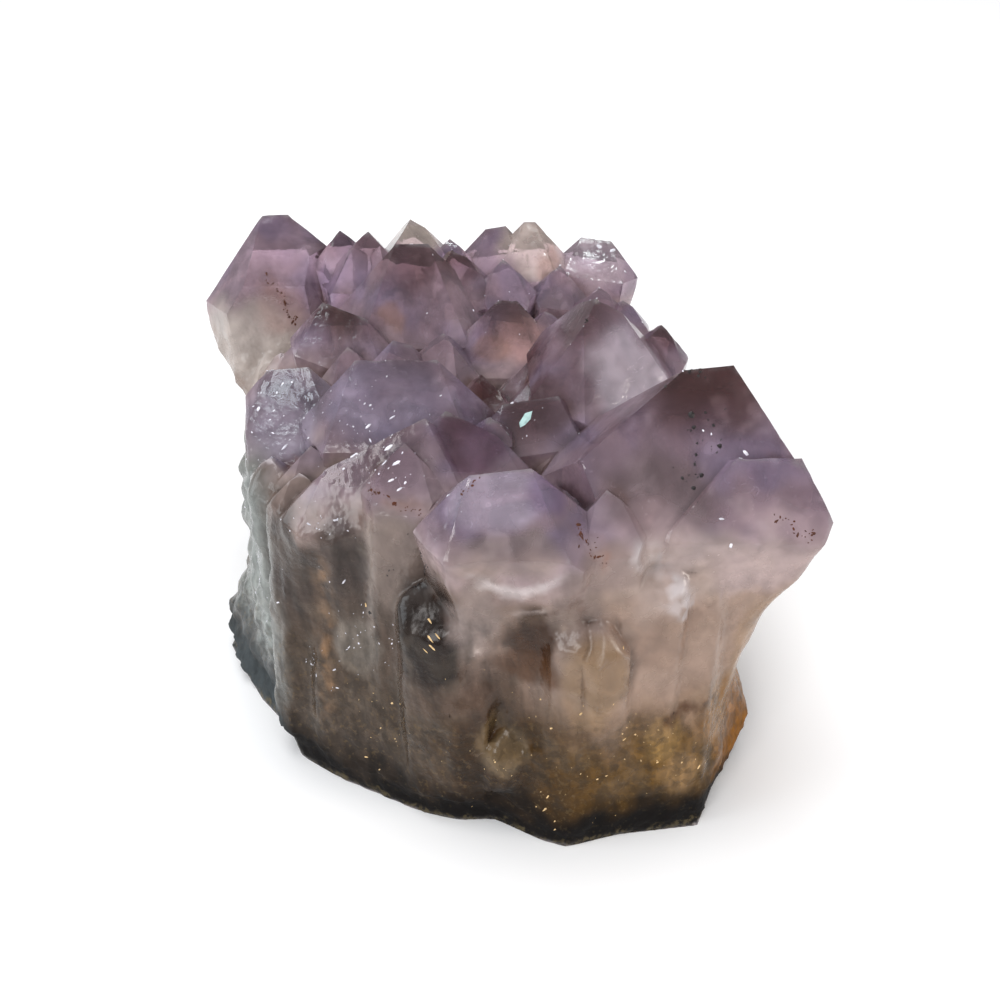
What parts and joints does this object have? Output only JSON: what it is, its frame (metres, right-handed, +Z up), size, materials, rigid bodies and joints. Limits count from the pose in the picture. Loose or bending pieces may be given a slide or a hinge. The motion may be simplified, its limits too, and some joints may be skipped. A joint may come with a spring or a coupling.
{
  "type": "amethyst cluster",
  "caption": "Free-standing amethyst cluster: fused quartz columns widening from a thin dark rind to a crown of purple six-sided tips.",
  "frame": {"origin": "middle of the bounding box, on the plane that the rind stands on", "axes": "+Z up along the columns, -Y towards the broken front that the picture shows, +X to the right of that front"},
  "size_m": [0.0986, 0.0952, 0.0683],
  "materials": {
    "amethyst": "glassy, translucent purple tips that turn milky and then smoky brown towards a dull dark rind"
  },
  "bodies": {
    "root": {"amethyst_cluster": "amethyst"}
  },
  "joints": []
}
